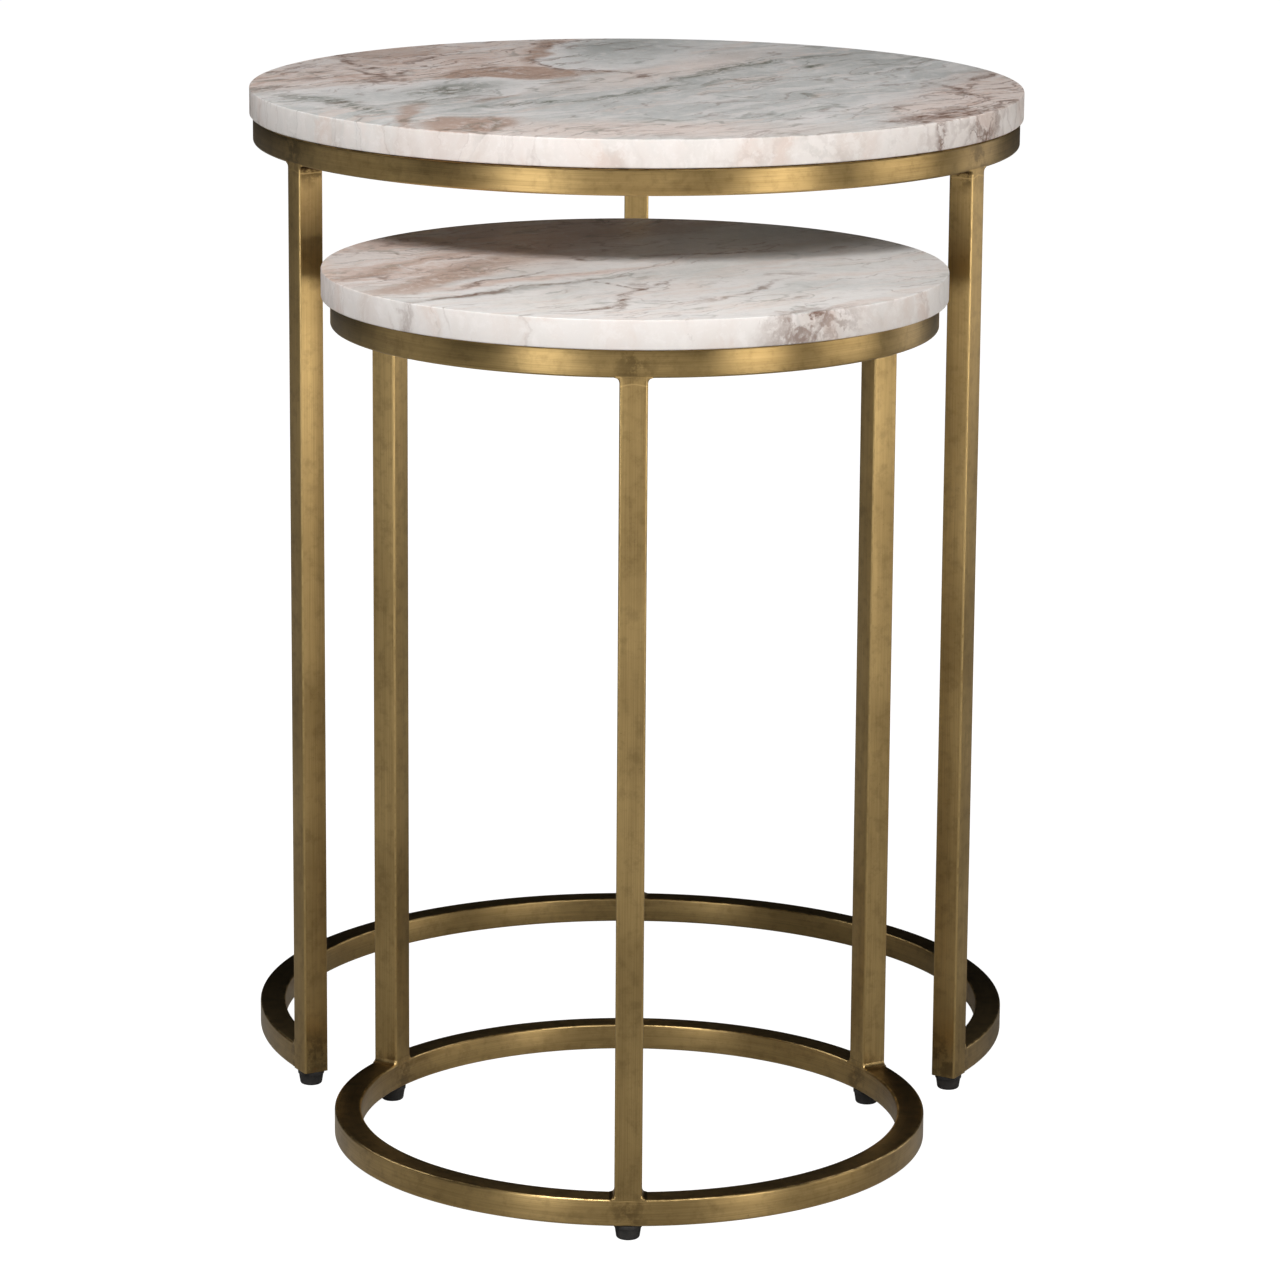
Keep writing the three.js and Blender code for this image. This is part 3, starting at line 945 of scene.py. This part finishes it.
def add_welds(table, tree, material):
    upright = placed("upright_weld", weld(table, True, 2))
    where = {"radius": table.tube_radius, "centre": tuple(table.centre), "material": material}
    angles = list(table.angles.values())
    top = tree.make(table.node("top_ring_welds"), part=upright, count=len(angles), first=angles[0],
                    height=table.ring_low, roll=math.pi, **where)
    keep(top, table, "antique_brass")
    standing = [angle for place, angle in table.angles.items() if table.on_base_ring(place)]
    base = tree.make(table.node("base_ring_welds"), part=upright, count=len(standing),
                     first=standing[0], height=table.base_high, **where)
    keep(base, table, "antique_brass")
    bpy.data.objects.remove(upright)


def add_side_welds(table, material):
    """Where the cut ends of the open base ring meet the sides of the front legs."""
    mesh = weld(table, False, 1)
    middle = table.base_low + table.tube / 2
    for place, angle in table.angles.items():
        if table.on_base_ring(place):
            continue
        piece = placed(table.node(f"side_weld_{place}"), mesh.copy())
        offset = Matrix.Translation((table.tube_radius, table.tube / 2, 0))
        if math.cos(angle) < 0:
            offset = Matrix.Scale(-1, 4, (0, 1, 0)) @ offset
        turn = Matrix.Translation(table.centre + Vector((0, 0, middle))) @ Matrix.Rotation(angle, 4, "Z")
        piece.data.transform(turn @ offset)
        if math.cos(angle) < 0:
            piece.data.flip_normals()
        dress(piece, material)
        keep(piece, table, "antique_brass")


def dress_pads(table, material):
    for name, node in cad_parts.items():
        if name.startswith(table.node("silicone_pad")):
            dress(node, material)


# ---------------------------------------------------------------- studio


def add_floor():
    """A wide pale floor that looks white and reflects the studio's light as a matt one."""
    floor = Surface("pale_floor")
    matt = floor.out(floor.add("ShaderNodeBsdfDiffuse", None, {"Color": (0.36, 0.355, 0.345, 1)}))
    glow = floor.out(floor.add("ShaderNodeEmission", None, {"Color": (1, 1, 1, 1), "Strength": 2.02}))
    seen = floor.out(floor.add("ShaderNodeLightPath"), "Is Camera Ray")
    blend = floor.out(floor.add("ShaderNodeMixShader", None, {0: seen * 0.5, 1: matt, 2: glow}))
    output = [n for n in floor.tree.nodes if n.bl_idname == "ShaderNodeOutputMaterial"][0]
    floor.tree.links.new(blend.socket, output.inputs["Surface"])
    floor.tree.nodes.remove(floor.shader)
    mesh = mesh_of(lambda work: bmesh.ops.create_circle(work, cap_ends=True, segments=96, radius=40))
    piece = placed("floor", mesh)
    if piece.data.polygons[0].normal.z < 0:
        piece.data.flip_normals()
    piece.data.materials.append(floor.material)


# Softboxes: degrees to the right of the camera, degrees up, distance, width, height, watts, warmth.
SOFTBOXES = {
    "key_above_left": (-28, 54, 4.0, 1.3, 1.3, 110, 0.0),
    "key_above_right": (28, 46, 4.0, 1.5, 1.3, 46, 0.0),
    "low_front": (2, 1, 2.6, 1.5, 0.6, 2.9, 0.1),
    "low_left": (-30, 1, 2.4, 0.75, 0.7, 8.3, 0.0),
    "low_right": (42, 1, 2.4, 0.8, 0.7, 10.6, 0.1),
    "side_left": (-88, 1, 2.4, 1.6, 0.7, 1.9, 0.0),
    "side_right": (82, 1, 3.4, 1.5, 0.75, 15, 0.1),
    "side_right_behind": (118, 1, 2.4, 0.8, 0.7, 2.8, 0.1),
    "back_left": (-125, 40, 3.0, 1.2, 1.2, 12, 0.0),
    "back_right": (125, 40, 3.0, 1.2, 1.2, 12, 0.0),
}
AIM = Vector((0, 0, 0.3))


def add_softboxes():
    for name, (side, up, away, width, height, watts, warmth) in SOFTBOXES.items():
        data = bpy.data.lights.new(name, "AREA")
        data.shape = "RECTANGLE"
        data.size = width
        data.size_y = height
        data.energy = watts
        data.color = (1, 1 - 0.25 * warmth, 1 - 0.6 * warmth)
        lamp = bpy.data.objects.new(name, data)
        turn = math.radians(side)
        rise = math.radians(up)
        towards = Vector((math.sin(turn) * math.cos(rise), -math.cos(turn) * math.cos(rise), math.sin(rise)))
        lamp.location = AIM + towards * away
        lamp.rotation_euler = towards.to_track_quat("Z", "Y").to_euler()
        bpy.context.scene.collection.objects.link(lamp)


def add_world():
    """White where the camera looks past the floor, dim for everything that is lit or reflected."""
    world = bpy.data.worlds.new("studio")
    world.use_nodes = True
    sky = Graph(world.node_tree)
    sky.tree.nodes.clear()
    dim = sky.out(sky.add("ShaderNodeBackground", None, {"Color": (0.9, 0.95, 1, 1), "Strength": 0.008}))
    white = sky.out(sky.add("ShaderNodeBackground", None, {"Color": (1, 1, 1, 1), "Strength": 1.0}))
    seen = sky.out(sky.add("ShaderNodeLightPath"), "Is Camera Ray")
    blend = sky.out(sky.add("ShaderNodeMixShader", None, {0: seen, 1: dim, 2: white}))
    sky.add("ShaderNodeOutputWorld", None, {"Surface": blend})
    bpy.context.scene.world = world
    bpy.context.scene.view_settings.view_transform = "Standard"


# ---------------------------------------------------------------- build

add_camera()
rings = rolled_ring_tree()
tubes = straight_tube_tree()
copies = set_round_axis_tree()
rubber_finish = black_rubber()
steel_finish = zinc_steel()
silicone_finish = milky_silicone()

for table, marble in ((large, large_marble()), (small, small_marble())):
    ring_brass = antique_brass(table.node("ring_brass"), table, "ring")
    leg_brass = antique_brass(table.node("leg_brass"), table, "leg")
    add_stone(table, marble)
    add_rings(table, rings, ring_brass)
    add_legs(table, tubes, leg_brass)
    add_welds(table, copies, leg_brass)
    add_side_welds(table, ring_brass)
    add_feet(table, copies, rubber_finish, steel_finish)
    dress_pads(table, silicone_finish)

add_floor()
add_softboxes()
add_world()
